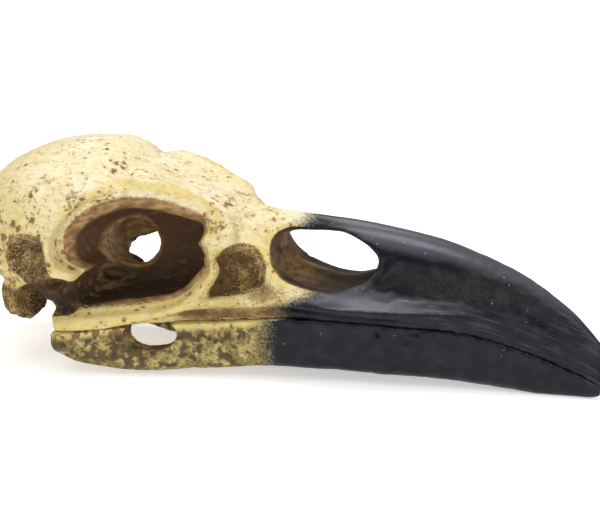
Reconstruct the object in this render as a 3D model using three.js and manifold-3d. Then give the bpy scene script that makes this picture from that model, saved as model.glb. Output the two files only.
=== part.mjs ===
// Raven skull with its bill sheath, a cast resin replica in one closed pose.
// Millimetres: +X runs to the bill tip, +Y to the bird's left, +Z up.
import * as THREE from 'three';
import { mergeVertices } from 'three/addons/utils/BufferGeometryUtils.js';
import Module from 'manifold-3d';

const wasm = await Module();
wasm.setup();

// Driving dimensions: the ends of the forms along X.
const CUT = 0.3;
const BILL_TIP_X = 62.1;
const LOWER_TIP_X = 59.4;
const FACE_REAR_X = -42.3;
const JAW_REAR_X = -41.8;
const CHIN_X = 33;
const FAR = 60;

// Braincase: an egg with its own reach to each side.
const BRAINCASE = {
  centre: [-37, 0, 22.2],
  reach: { back: 26, front: 12, up: 19.2, down: 9.6, side: 20.6 },
  power: 2.35,
  lean: 0.03,
};

// Profiles of the upper skull along X, as [x, value] stations.
const ROOF_Z = [[-44, 39], [-34, 39.2], [-30, 38.2], [-26, 37], [-17, 33.9], [-8, 31], [0, 30.1],
  [14, 29.1], [28, 27], [38, 24], [46, 20.4], [53, 15.8], [58, 11.1], [61, 6.8], [62.1, 2.8]];
const RIDGE_Z = [[-44, 10.5], [-34, 11.6], [-18, 14], [-2, 15.2], [20, 14.7], [40, 14.2], [48, 12.6],
  [54, 9], [58, 5.4], [62.1, 2]];
const RIDGE_HALF = [[-44, 18.2], [-34, 15.8], [-18, 12.6], [-2, 10.5], [10, 9.5], [20, 8], [35, 5.6],
  [48, 3.2], [57, 1.4], [62.1, 0.5]];
const BROW_HALF = [[-44, 18], [-33, 16.6], [-24, 15.2], [-17, 13.2], [-10.5, 11], [-7, 8.2], [-2, 6.8],
  [10, 5.6], [20, 5.4], [35, 4.4], [48, 2.6], [57, 1.2], [62.1, 0.4]];
const BROW_LIFT = [[-44, 0], [-29.6, 0], [-26, 5.8], [-21, 6.4], [-15, 4.9], [-12, 4], [-9.5, 2.2],
  [-7, 0], [62.1, 0]];
const FACE_POWER = [[-44, 2.4], [-31, 2.8], [-25, 4.2], [-12, 4.2], [-7, 2.3], [-2, 2], [62.1, 2]];
const GAPE_Z = [[-60, 8], [-40, 7.5], [-30, 8.8], [-18, 9.8], [-8, 10.7], [2, 11.7], [14, 11.7],
  [24, 11.2], [30, 11], [36, 10.4], [42.6, 8.6], [49.5, 6.1], [55.6, 3.5], [60.7, 0.8], [70, -5]];

// Along the bill a round culmen stands on flanks that flare out to the ridge, and the ridge itself
// stands out as a ledge. Each comes in over the span `starts` and goes over the span `ends`.
const CULMEN = { starts: [0, 12], ends: [50, 60], flare: 0.42 };
const LEDGE = { starts: [-6, 4], ends: [22, 52], out: 1.2, height: 1.5 };

// Profiles of the lower jaw along X.
const JAW_BOTTOM_Z = [[-41.8, 3], [-37, 0.5], [-27, -0.8], [-15, 0.2], [2, 1.5], [23, 1], [40, -0.3],
  [50, -0.85], [57, -0.85], [59.4, -0.4]];
const JAW_HALF = [[-41.8, 19.3], [-30, 16.6], [-18, 13.4], [2, 10.2], [20, 7.8], [35, 5.4], [48, 3.1],
  [56, 1.8], [59.4, 0.9]];
const JAW_TAPER = [[-41.8, 0.9], [-20, 0.94], [20, 0.9], [40, 0.78], [59.4, 0.8]];
const JAW_POWER = [[-41.8, 5], [20, 5], [40, 3], [59.4, 2.6]];
const RAMUS_WALL = 2.7;
const FOOT_IN = 0.06;

// Hollows. Those off the middle are listed for the bird's left and mirrored.
const SEPTUM_HALF = 1.15;
const ORBIT = {
  centre: [-27, 16, 22],
  reach: { back: 14, front: 14.8, up: 12.2, down: 9.6, side: 16 - SEPTUM_HALF },
  power: 2.5,
  lean: 0.08,
};
const CHEEK_RECESS = {
  centre: [-31, 18, 13.6],
  reach: { back: 9.8, front: 14, up: 5, down: 2.6, side: 8 },
  power: 2.6,
  lean: 0.17,
};
const SEPTUM_WINDOW = { x: -31.2, z: 21.8, halfLength: 4.6, up: 4.6, down: 4.6 };
const ANTORBITAL_FOSSA = {
  centre: [-6.8, 12.2, 19.8],
  reach: { back: 6, front: 5.6, up: 5.7, down: 5.1, side: 4.6 },
  power: 2.3,
};
const TEMPORAL_FOSSA = {
  centre: [-45.6, 22.4, 21],
  reach: { back: 5.2, front: 4.6, up: 6.6, down: 5.8, side: 4.6 },
  power: 2.2,
};
const EAR = {
  centre: [-46, 17.5, 12.6],
  reach: { back: 4.6, front: 3.4, up: 3.4, down: 5, side: 6.5 },
  power: 2.2,
};
const NOSTRIL = { x: 8.2, z: 22.6, halfLength: 10.3, up: 5.2, down: 5.5, lean: -0.09 };
const NASAL_CAVITY = {
  centre: [8.6, 0, 20.6],
  reach: { back: 10.6, front: 9.6, up: 5.4, down: 6, side: 6.2 },
  power: 2.4,
};
const JAW_WINDOW = { x: -22.8, z: 7.7, halfLength: 4.6, up: 3, down: 3, lean: 0.05 };

// Knuckles that stand on the skull, given for the bird's left.
const EAR_KNUCKLE = {
  centre: [-49.4, 12.6, 12.8],
  reach: { back: 4.6, front: 4.4, up: 5, down: 4.6, side: 4.4 },
  power: 2.1,
};
const LACRIMAL_KNUCKLE = {
  centre: [-11.6, 8.8, 27],
  reach: { back: 2.8, front: 3.6, up: 2.6, down: 3.2, side: 2.4 },
  power: 2.2,
};

// Where the cast is parted into its bones.
const BILL_BASE_X = -1.2;
const LACRIMAL_REAR_X = -14.6;
const ORBIT_REAR_X = -36.5;
const QUADRATE_REAR_X = -43.2;
const ROOF_FLOOR_Z = { rear: 32, front: 27.4 };
const PALATE_TOP_Z = 14.4;
const QUADRATE_TOP_Z = 17.5;
const QUADRATE_INNER_Y = 9;
const JUGAL_INNER_Y = 8.5;
const LACRIMAL_INNER_Y = 3.2;
const RAMUS_FRONT_X = -1.2;

const material = (color, roughness, metalness = 0) =>
  () => new THREE.MeshStandardMaterial({ color, roughness, metalness });
const bone = material('#d8caa4', 0.62);
const stainedBone = material('#8d7350', 0.75);
const sheath = material('#2f3135', 0.38);

// A smooth curve through [x, value] stations, flat where they turn (monotone cubic).
function profile(stations) {
  const slope = stations.map(([x, value], i) => {
    if (i === 0 || i === stations.length - 1) {
      const [other] = i === 0 ? [stations[1]] : [stations[i - 1]];
      return (other[1] - value) / (other[0] - x);
    }
    const before = (value - stations[i - 1][1]) / (x - stations[i - 1][0]);
    const after = (stations[i + 1][1] - value) / (stations[i + 1][0] - x);
    return before * after <= 0 ? 0 : (2 * before * after) / (before + after);
  });
  return (x) => {
    const last = stations.length - 2;
    const i = Math.min(last, Math.max(0, stations.findIndex((station) => station[0] > x) - 1));
    const at = x >= stations[last + 1][0] ? last : i;
    const width = stations[at + 1][0] - stations[at][0];
    const t = THREE.MathUtils.clamp((x - stations[at][0]) / width, 0, 1);
    const [h00, h10] = [(1 + 2 * t) * (1 - t) ** 2, t * (1 - t) ** 2];
    const [h01, h11] = [t * t * (3 - 2 * t), t * t * (t - 1)];
    return h00 * stations[at][1] + h10 * width * slope[at]
      + h01 * stations[at + 1][1] + h11 * width * slope[at + 1];
  };
}

const roofZ = profile(ROOF_Z);
const ridgeZ = profile(RIDGE_Z);
const ridgeHalf = profile(RIDGE_HALF);
const browHalf = profile(BROW_HALF);
const browLift = profile(BROW_LIFT);
const facePower = profile(FACE_POWER);
const gapeZ = profile(GAPE_Z);
const jawBottomZ = profile(JAW_BOTTOM_Z);
const jawHalf = profile(JAW_HALF);
const jawTaper = profile(JAW_TAPER);
const jawPower = profile(JAW_POWER);

// A closed three.js geometry as a manifold solid.
function solid(geometry) {
  geometry.deleteAttribute('normal');
  geometry.deleteAttribute('uv');
  const merged = mergeVertices(geometry, 1e-4);
  return new wasm.Manifold(new wasm.Mesh({
    numProp: 3,
    vertProperties: Float32Array.from(merged.attributes.position.array),
    triVerts: Uint32Array.from(merged.index.array),
  }));
}

// Moves every vertex of a geometry through a function of its place.
function warp(geometry, place) {
  const position = geometry.attributes.position;
  const point = new THREE.Vector3();
  for (let i = 0; i < position.count; i += 1) {
    point.fromBufferAttribute(position, i);
    position.setXYZ(i, ...place(point));
  }
  return geometry;
}

// A rounded box between sphere and brick, its reach set apart for each direction.
function egg({ centre, reach, power, lean = 0 }, side = 1, around = 32, rings = 18) {
  const sphere = new THREE.SphereGeometry(1, around, rings);
  return solid(warp(sphere, ({ x, y, z }) => {
    const size = (Math.abs(x) ** power + Math.abs(y) ** power + Math.abs(z) ** power) ** (1 / power);
    const along = (x / size) * (x < 0 ? reach.back : reach.front);
    return [
      centre[0] + along,
      side * centre[1] + (y / size) * reach.side,
      centre[2] + (z / size) * (z < 0 ? reach.down : reach.up) + along * lean,
    ];
  }));
}

// A skin over cross-sections set along X; `bunch` above 1 crowds them towards the front.
function loft({ from, to, steps, sides, bunch = 1, section, core }) {
  const tube = new THREE.CylinderGeometry(1, 1, 1, sides, steps);
  return solid(warp(tube, ({ x: across, y: along, z: height }) => {
    const x = from + (to - from) * (1 - (0.5 - along) ** bunch);
    if (Math.hypot(across, height) < 0.5) return [x, 0, core(x)];
    const angle = Math.atan2(-height, across);
    return [x, ...section(x, Math.cos(angle), Math.sin(angle))];
  }));
}

// An outline in the XZ plane, carried across the skull from y0 to y1.
function slab(outline, y0 = -FAR, y1 = FAR) {
  const shape = new THREE.Shape(outline.map(([x, z]) => new THREE.Vector2(x, z)));
  const block = new THREE.ExtrudeGeometry(shape, { depth: y1 - y0, bevelEnabled: false });
  return solid(warp(block, ({ x, y, z }) => [x, y1 - z, y]));
}

// An oval in the XZ plane with its own height above and below its middle, leaning by `lean` along X.
function oval({ x, z, halfLength, up, down, lean = 0 }, points = 26) {
  return Array.from({ length: points }, (_, i) => {
    const angle = (i / points) * Math.PI * 2;
    const along = Math.cos(angle) * halfLength;
    const height = Math.sin(angle) * (Math.sin(angle) < 0 ? down : up);
    return [x + along, z + height + along * lean];
  });
}

const signedPower = (value, exponent) => Math.sign(value) * Math.abs(value) ** exponent;

// Everything on one side of the line where the jaws meet.
function beyondGape(offset, edgeZ) {
  const steps = 34;
  const line = Array.from({ length: steps + 1 }, (_, i) => {
    const x = THREE.MathUtils.lerp(-FAR - 5, FAR + 10, i / steps);
    return [x, gapeZ(x) + offset];
  });
  const outline = [...line, [FAR + 10, edgeZ], [-FAR - 5, edgeZ]];
  return slab(edgeZ < 0 ? outline.reverse() : outline);
}

// 1 between a span's two ends, easing to 0 beyond them.
function between(span, x) {
  return THREE.MathUtils.smoothstep(x, ...span.starts) * (1 - THREE.MathUtils.smoothstep(x, ...span.ends));
}

// Half width of the bill at a share of its height: a circle of the brow's half width over the flank.
function culmenHalf(x, rise) {
  const spring = THREE.MathUtils.clamp(1 - browHalf(x) / (roofZ(x) - ridgeZ(x)), 0.05, 0.9);
  const arch = Math.sqrt(Math.max(0, 1 - Math.max(0, (rise - spring) / (1 - spring)) ** 2));
  return arch * THREE.MathUtils.lerp(ridgeHalf(x), browHalf(x), Math.min(1, rise / spring) ** CULMEN.flare);
}

// Roof, cheeks and upper bill as one skin, from the orbit's rear to the bill tip.
function face() {
  return loft({
    from: FACE_REAR_X,
    to: BILL_TIP_X,
    steps: 34,
    sides: 24,
    bunch: 1.25,
    core: (x) => ridgeZ(x),
    section: (x, across, height) => {
      const exponent = 2 / (height > 0 ? facePower(x) : 5);
      const rise = Math.abs(height) ** exponent;
      const side = signedPower(across, exponent);
      const half = height > 0
        ? THREE.MathUtils.lerp(ridgeHalf(x), browHalf(x), rise)
        : ridgeHalf(x) * (1 - FOOT_IN * rise);
      const limit = height > 0
        ? roofZ(x) + browLift(x) * Math.abs(side) ** 3
        : Math.min(gapeZ(x), ridgeZ(x)) - 2;
      const z = THREE.MathUtils.lerp(ridgeZ(x), limit, rise);
      const round = height > 0 ? between(CULMEN, x) : 0;
      const y = THREE.MathUtils.lerp(half * side, culmenHalf(x, rise) * Math.sign(across), round);
      const ledge = LEDGE.out * between(LEDGE, x) * Math.exp(-(((z - ridgeZ(x)) / LEDGE.height) ** 2));
      return [y + ledge * side, z];
    },
  });
}

// Lower jaw before it is hollowed, its top standing above the gape.
function jawBlock(reduce = 0, from = JAW_REAR_X, to = LOWER_TIP_X, floor = null) {
  return loft({
    from,
    to,
    steps: 28,
    sides: 22,
    bunch: 1.2,
    core: (x) => (jawBottomZ(x) + gapeZ(x)) / 2,
    section: (x, across, height) => {
      const middle = (jawBottomZ(x) + gapeZ(x)) / 2;
      const exponent = 2 / (height > 0 ? 6 : jawPower(x));
      const drop = Math.abs(height) ** exponent;
      const half = Math.max(0.4, jawHalf(x) - reduce);
      const narrow = height > 0 ? 1 : THREE.MathUtils.lerp(1, jawTaper(x), drop);
      const bottom = floor ?? jawBottomZ(x);
      return [
        half * narrow * signedPower(across, exponent),
        height > 0 ? middle + drop * (gapeZ(x) + 3 - middle) : THREE.MathUtils.lerp(middle, bottom, drop),
      ];
    },
  });
}

// Both sides of a hollow or knuckle as one solid.
const pair = (form, around, rings) => egg(form, 1, around, rings).add(egg(form, -1, around, rings));

function upperSkull() {
  return egg(BRAINCASE, 1, 32, 18)
    .add(face())
    .add(pair(EAR_KNUCKLE, 16, 10))
    .add(pair(LACRIMAL_KNUCKLE, 14, 8))
    .subtract(pair(ORBIT, 28, 16))
    .subtract(pair(CHEEK_RECESS, 20, 10))
    .subtract(pair(ANTORBITAL_FOSSA, 16, 10))
    .subtract(pair(TEMPORAL_FOSSA, 16, 10))
    .subtract(pair(EAR, 14, 8))
    .subtract(egg(NASAL_CAVITY, 1, 20, 12))
    .subtract(slab(oval(NOSTRIL)))
    .subtract(slab(oval(SEPTUM_WINDOW, 22)))
    .subtract(beyondGape(0, -FAR));
}

function lowerJaw() {
  return jawBlock()
    .subtract(jawBlock(RAMUS_WALL, JAW_REAR_X - 5, CHIN_X, -8))
    .subtract(slab(oval(JAW_WINDOW, 22)))
    .subtract(beyondGape(-CUT, FAR));
}

// The largest single body of a solid, as a named mesh.
function node(name, body, surface) {
  const bodies = body.decompose();
  const [largest] = bodies.sort((a, b) => b.volume() - a.volume());
  const { vertProperties, triVerts } = largest.getMesh();
  const geometry = new THREE.BufferGeometry();
  geometry.setAttribute('position', new THREE.BufferAttribute(vertProperties, 3));
  geometry.setIndex(new THREE.BufferAttribute(triVerts, 1));
  const mesh = new THREE.Mesh(geometry, surface());
  mesh.name = name;
  return mesh;
}

// The space of one bone in the XZ plane, held half a cut clear of its neighbours on every side.
function cell(x0, x1, z0, z1, y0 = -FAR, y1 = FAR) {
  const clear = CUT / 2;
  const [rear, front] = [x0 + clear, x1 - clear];
  const at = (z, x, inset) => inset + (typeof z === 'number'
    ? z
    : THREE.MathUtils.mapLinear(x, ORBIT_REAR_X, BILL_BASE_X, z.rear, z.front));
  return slab(
    [[rear, at(z0, rear, clear)], [front, at(z0, front, clear)], [front, at(z1, front, -clear)],
      [rear, at(z1, rear, -clear)]],
    y0 + clear,
    y1 - clear,
  );
}

// The same space on the bird's left (side 1) or right (side -1), outward from `inner`.
const sideCell = (x0, x1, z0, z1, inner, side) => (side > 0
  ? cell(x0, x1, z0, z1, inner, FAR)
  : cell(x0, x1, z0, z1, -FAR, -inner));

function skullBones() {
  const whole = upperSkull();
  const take = (space) => whole.intersect(space);
  const bones = new THREE.Group();
  const quadrates = [1, -1].map((side) =>
    sideCell(QUADRATE_REAR_X, ORBIT_REAR_X, -FAR, QUADRATE_TOP_Z, QUADRATE_INNER_Y, side));
  const quadrateRoom = [1, -1].map((side) => sideCell(QUADRATE_REAR_X - CUT, ORBIT_REAR_X + CUT, -FAR,
    QUADRATE_TOP_Z + CUT, QUADRATE_INNER_Y - CUT, side));
  const rear = take(cell(-FAR - 5, ORBIT_REAR_X, -FAR, FAR));
  bones.add(
    node('upper_bill', take(cell(BILL_BASE_X, FAR + 5, -FAR, FAR)), sheath),
    node('skull_roof', take(cell(ORBIT_REAR_X, BILL_BASE_X, ROOF_FLOOR_Z, FAR)), bone),
    node('braincase', rear.subtract(quadrateRoom[0]).subtract(quadrateRoom[1]), bone),
    node('palate', take(cell(ORBIT_REAR_X, BILL_BASE_X, -FAR, PALATE_TOP_Z, -JUGAL_INNER_Y, JUGAL_INNER_Y)),
      stainedBone),
    node('interorbital_septum', take(
      cell(ORBIT_REAR_X, LACRIMAL_REAR_X + CUT, PALATE_TOP_Z, ROOF_FLOOR_Z)
        .add(cell(LACRIMAL_REAR_X, BILL_BASE_X, PALATE_TOP_Z, ROOF_FLOOR_Z, -LACRIMAL_INNER_Y,
          LACRIMAL_INNER_Y)),
    ), stainedBone),
  );
  [['left', 1], ['right', -1]].forEach(([name, side], i) => {
    bones.add(
      node(`lacrimal_${name}`, take(sideCell(LACRIMAL_REAR_X, BILL_BASE_X, PALATE_TOP_Z, ROOF_FLOOR_Z,
        LACRIMAL_INNER_Y, side)), bone),
      node(`jugal_${name}`, take(sideCell(ORBIT_REAR_X, BILL_BASE_X, -FAR, PALATE_TOP_Z, JUGAL_INNER_Y,
        side)), bone),
      node(`quadrate_${name}`, take(quadrates[i]), stainedBone),
    );
  });
  return bones;
}

function jawBones() {
  const whole = lowerJaw();
  const bones = new THREE.Group();
  bones.add(
    node('lower_bill', whole.intersect(cell(RAMUS_FRONT_X, FAR + 5, -FAR, FAR)), sheath),
    node('jaw_ramus_left', whole.intersect(cell(-FAR, RAMUS_FRONT_X, -FAR, FAR, 0, FAR)), bone),
    node('jaw_ramus_right', whole.intersect(cell(-FAR, RAMUS_FRONT_X, -FAR, FAR, -FAR, 0)), bone),
  );
  return bones;
}

const skull = new THREE.Group();
skull.add(skullBones(), jawBones());

// The skull stands with the middle of its own box over the origin.
const box = new THREE.Box3().setFromObject(skull, true);
skull.position.set(-(box.min.x + box.max.x) / 2, 0, -box.min.z);

export default skull;
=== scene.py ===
import math

import bpy
import numpy as np
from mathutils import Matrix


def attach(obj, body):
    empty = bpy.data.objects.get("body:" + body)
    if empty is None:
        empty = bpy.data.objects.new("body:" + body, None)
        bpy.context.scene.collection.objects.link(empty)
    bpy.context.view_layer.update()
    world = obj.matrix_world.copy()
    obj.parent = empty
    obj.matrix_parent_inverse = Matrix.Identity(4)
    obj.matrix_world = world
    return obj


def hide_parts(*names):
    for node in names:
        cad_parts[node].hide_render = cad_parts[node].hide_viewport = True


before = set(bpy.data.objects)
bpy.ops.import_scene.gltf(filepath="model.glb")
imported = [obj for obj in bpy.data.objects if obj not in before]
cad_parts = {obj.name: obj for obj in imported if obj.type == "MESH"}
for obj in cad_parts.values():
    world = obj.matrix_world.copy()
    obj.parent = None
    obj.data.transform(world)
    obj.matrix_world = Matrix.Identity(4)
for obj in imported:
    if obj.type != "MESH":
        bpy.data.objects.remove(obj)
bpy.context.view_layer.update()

# Everything is drawn in millimetres with the nostril just ahead of the origin, and stood on the floor last.
mm = 0.001
bothSides = (1, -1)


def profile(stations):
    # a smooth curve through [x, value] stations that never overshoots them (monotone cubic)
    xs, values = np.array(stations, float).T
    step = np.diff(xs)
    rise = np.diff(values) / step
    slope = np.concatenate([rise[:1], np.zeros(len(xs) - 2), rise[-1:]])
    steady = rise[:-1] * rise[1:] > 0
    slope[1:-1][steady] = (2 * rise[:-1] * rise[1:])[steady] / (rise[:-1] + rise[1:])[steady]

    def curve(x):
        x = np.clip(x, xs[0], xs[-1])
        at = np.clip(np.searchsorted(xs, x, side="right") - 1, 0, len(step) - 1)
        t = (x - xs[at]) / step[at]
        return ((1 + 2 * t) * (1 - t) ** 2 * values[at] + t * (1 - t) ** 2 * step[at] * slope[at]
                + t * t * (3 - 2 * t) * values[at + 1] + t * t * (t - 1) * step[at] * slope[at + 1])

    return curve


def mix(a, b, t):
    return a + (b - a) * t


def ease(low, high, value):
    # 0 below low, 1 above high, and a soft S between
    t = np.clip((value - low) / (high - low), 0, 1)
    return t * t * (3 - 2 * t)


def bell(value, middle, reach):
    return np.exp(-((value - middle) / reach) ** 2)


def signedPower(value, exponent):
    return np.sign(value) * np.abs(value) ** exponent


def closedCurve(stations, count):
    # a smooth closed line through [x, z] stations, followed by the distance along it
    path = np.array(stations + stations[:1], float)
    knots = np.concatenate([[0], np.cumsum(np.linalg.norm(np.diff(path, axis=0), axis=1))])
    lap = knots[-1]
    wide = np.concatenate([knots[:-1] - lap, knots[:-1], knots[:-1] + lap])
    s = np.linspace(0, lap, count, endpoint=False)
    return np.stack([profile(np.stack([wide, np.tile(path[:-1, k], 3)], 1))(s) for k in range(2)], axis=-1)


def putMesh(name, points, faces):
    mesh = bpy.data.meshes.new(name)
    mesh.from_pydata((points * mm).tolist(), [], faces)
    corners = np.array([face[:3] for face in faces])
    a, b, c = (points[corners[:, k]] for k in range(3))
    if np.einsum("ij,ij->i", a, np.cross(b, c)).sum() < 0:
        mesh.flip_normals()
    piece = bpy.data.objects.new(name, mesh)
    bpy.context.collection.objects.link(piece)
    return piece


def ringPiece(name, rings):
    # rings of points joined to the next ring, and closed on a middle point at either end
    count, around = rings.shape[:2]
    index = np.arange(count * around).reshape(count, around)
    turned = np.roll(index, -1, axis=1)
    quads = np.stack([index[:-1], turned[:-1], turned[1:], index[1:]], axis=-1).reshape(-1, 4)
    poles = count * around + np.arange(2)
    start = np.stack([turned[0], index[0], np.full(around, poles[0])], axis=-1)
    end = np.stack([index[-1], turned[-1], np.full(around, poles[1])], axis=-1)
    points = np.concatenate([rings.reshape(-1, 3), rings[[0, -1]].mean(axis=1)])
    return putMesh(name, points, quads.tolist() + start.tolist() + end.tolist())


def egg(name, form, side=1, around=72, rings=40):
    # a superellipsoid with its own reach each way: the unit direction of a latitude and a longitude,
    # divided by its own power norm, times the reach of the octant it points to
    lon = np.linspace(0, 2 * np.pi, around, endpoint=False)[None, :]
    lat = np.linspace(-np.pi / 2, np.pi / 2, rings + 2)[1:-1, None]
    x, y, z = np.sin(lat) + 0 * lon, np.cos(lat) * np.cos(lon), np.cos(lat) * np.sin(lon)
    power, reach = form["power"], form["reach"]
    size = (np.abs(x) ** power + np.abs(y) ** power + np.abs(z) ** power) ** (1 / power)
    along = x / size * np.where(x < 0, reach["back"], reach["front"])
    out = y / size * reach["side"]
    up = z / size * np.where(z < 0, reach["down"], reach["up"]) + along * form.get("lean", 0)
    centre = form["centre"]
    return ringPiece(name, np.stack([centre[0] + along, side * (centre[1] + out), centre[2] + up], axis=-1))


def eggDepth(form, points):
    # 1 on the egg's own surface, under 1 inside it and over 1 outside; both sides of the skull count
    along = points[:, 0] - form["centre"][0]
    out = np.abs(points[:, 1]) - form["centre"][1]
    up = points[:, 2] - form["centre"][2] - along * form.get("lean", 0)
    reach, power = form["reach"], form["power"]
    parts = [np.abs(along) / np.where(along < 0, reach["back"], reach["front"]), np.abs(out) / reach["side"],
             np.abs(up) / np.where(up < 0, reach["down"], reach["up"])]
    return sum(part ** power for part in parts) ** (1 / power)


def pit(name, form, side=1, around=120, steps=56):
    # a hollow sunk from the side: its outline shrinks about its middle by the shares that the wall
    # gives at each distance from the middle plane, and its mouth turns to follow the flank
    wall = np.array(form["wall"], float)
    depth = np.linspace(wall[0, 0], wall[-1, 0], steps)[:, None]
    back, front, up, down = (profile(wall[:, [0, k]])(depth) for k in range(1, 5))
    dx, dz = (closedCurve(form["outline"], around) - form["middle"]).T
    x = form["middle"][0] + dx * np.where(dx < 0, back, front)
    z = form["middle"][1] + dz * np.where(dz < 0, down, up)
    turn = form["skew"] * (x - form["middle"][0]) * ease(wall[0, 0], form["skin"], depth)
    return ringPiece(name, np.stack([x, side * (depth + turn), z], axis=-1))


def outlineShare(form, points):
    # 1 on the hollow's outline seen from the side and under 1 within it: the distance from its middle,
    # over the outline's own radius in that direction
    away = points[:, [0, 2]] - form["middle"]
    edge = closedCurve(form["outline"], 240) - form["middle"]
    angle = np.arctan2(edge[:, 1], edge[:, 0])
    order = np.argsort(angle)
    radius = np.interp(np.arctan2(away[:, 1], away[:, 0]), angle[order], np.hypot(*edge.T)[order],
                       period=2 * np.pi)
    return np.hypot(*away.T) / radius


def sunk(form, points):
    # how far a point lies below the mouth of the hollow, towards the middle plane
    return form["skin"] + form["skew"] * (points[:, 0] - form["middle"][0]) - np.abs(points[:, 1])


def loft(name, form, section, count=200, around=112):
    # a skin over cross-sections set along X, crowded towards the front by the power `bunch`
    u = np.linspace(0, 1, count)[:, None]
    x = form["from"] + (form["to"] - form["from"]) * (1 - (1 - u) ** form["bunch"])
    angle = np.linspace(0, 2 * np.pi, around, endpoint=False)[None, :]
    y, z = section(x, np.cos(angle), np.sin(angle))
    return ringPiece(name, np.stack([x + 0 * y, y, z], axis=-1))


def strand(name, path, radius, side=1, around=20, count=90):
    # a round bar carried along a smooth path: each ring stands square to the path's own direction
    path = np.array(path, float)
    knots = np.concatenate([[0], np.cumsum(np.linalg.norm(np.diff(path, axis=0), axis=1))])
    s = np.linspace(0, knots[-1], count)
    centre = np.stack([profile(np.stack([knots, path[:, k]], axis=-1))(s) for k in range(3)], axis=-1)
    size = profile(np.stack([knots, radius], axis=-1))(s)[:, None, None]
    ahead = np.gradient(centre, axis=0)
    ahead /= np.linalg.norm(ahead, axis=1)[:, None]
    across = np.cross(ahead, [0.0, 1.0, 0.0])
    across /= np.linalg.norm(across, axis=1)[:, None]
    out = np.cross(across, ahead)
    angle = np.linspace(0, 2 * np.pi, around, endpoint=False)[None, :, None]
    rings = centre[:, None] + size * (np.cos(angle) * across[:, None] + np.sin(angle) * out[:, None])
    rings[..., 1] *= side
    return ringPiece(name, rings)


def windowBar(name, form, around=72):
    # a leaning oval in the XZ plane carried straight through from side to side
    reach = form.get("reach", 30.0)
    angle = np.linspace(0, 2 * np.pi, around, endpoint=False)[None, :]
    along = np.cos(angle) * form["halfLength"]
    height = np.where(np.sin(angle) < 0, form["down"], form["up"])
    up = np.sin(angle) * height + along * form.get("lean", 0)
    y = np.array([-reach, reach])[:, None]
    rings = np.stack([form["x"] + along + 0 * y, y + 0 * along, form["z"] + up + 0 * y], axis=-1)
    return ringPiece(name, rings)


def gapeBlock(name, offset, edgeZ):
    # everything on one side of the line where the jaws meet, as a block with that line for one face
    x = np.linspace(-66, 72, 160)
    line = gapeZ(x) + offset
    edge = np.full(160, float(edgeZ))
    outline = np.concatenate([np.stack([x, line], 1), np.stack([x, edge], 1)[::-1]])
    rings = np.stack([np.insert(outline, 1, y, axis=1) for y in (-30.0, 30.0)])
    count = len(x)
    index = np.arange(2 * count)
    low, high = index, index + 2 * count
    sides = np.stack([low, np.roll(low, -1), np.roll(high, -1), high], axis=-1)
    strip = np.arange(count - 1)
    back = 2 * count - 1 - strip
    caps = np.stack([strip, back, back - 1, strip + 1], axis=-1)
    caps = np.concatenate([caps, (caps + 2 * count)[:, ::-1]])
    return putMesh(name, rings.reshape(-1, 3), sides.tolist() + caps.tolist())


def noise(points, size, seed=0):
    # random numbers on a lattice of the given size, blended smoothly between its corners, -1 to 1
    place = points / size + 31.7 * (seed + 1)
    cell = np.floor(place).astype(np.int64)
    part = place - cell
    part = part * part * (3 - 2 * part)
    total = np.zeros(len(points))
    for corner in np.ndindex(2, 2, 2):
        code = ((cell + corner) * (73856093, 19349663, 83492791)).sum(axis=1) + seed * 7919
        code = (code ^ (code >> 13)) * 1274126177 & 0x7FFFFFFF
        code = (code ^ (code >> 16)) * 1911520717 & 0x7FFFFFFF
        total += np.prod(np.where(corner, part, 1 - part), axis=1) * (code / 0x3FFFFFFF - 1)
    return total


def cloud(points, size, seed=0, layers=3):
    # noise over noise, each layer half the size and half the strength of the last
    return sum(noise(points, size / 2 ** k, seed + k) / 2 ** k for k in range(layers))


def carve(name, core, steps, voxel):
    # joins and cuts the forms one after another, then gives the result one even skin
    for form, operation in steps:
        step = core.modifiers.new(form.name, "BOOLEAN")
        step.operation, step.solver, step.object = operation, "MANIFOLD", form
    skin = core.modifiers.new("skin", "REMESH")
    skin.mode, skin.voxel_size = "VOXEL", voxel * mm
    shaped = core.evaluated_get(bpy.context.evaluated_depsgraph_get())
    mesh = bpy.data.meshes.new_from_object(shaped)
    for form in [core] + [form for form, operation in steps]:
        bpy.data.objects.remove(form)
    mesh.name = name
    piece = bpy.data.objects.new(name, mesh)
    bpy.context.collection.objects.link(piece)
    print(name, "skin of", len(mesh.polygons), "faces")
    return piece


def joined(forms):
    return [(form, "UNION") for form in forms]


def cut(forms):
    return [(form, "DIFFERENCE") for form in forms]


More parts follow.
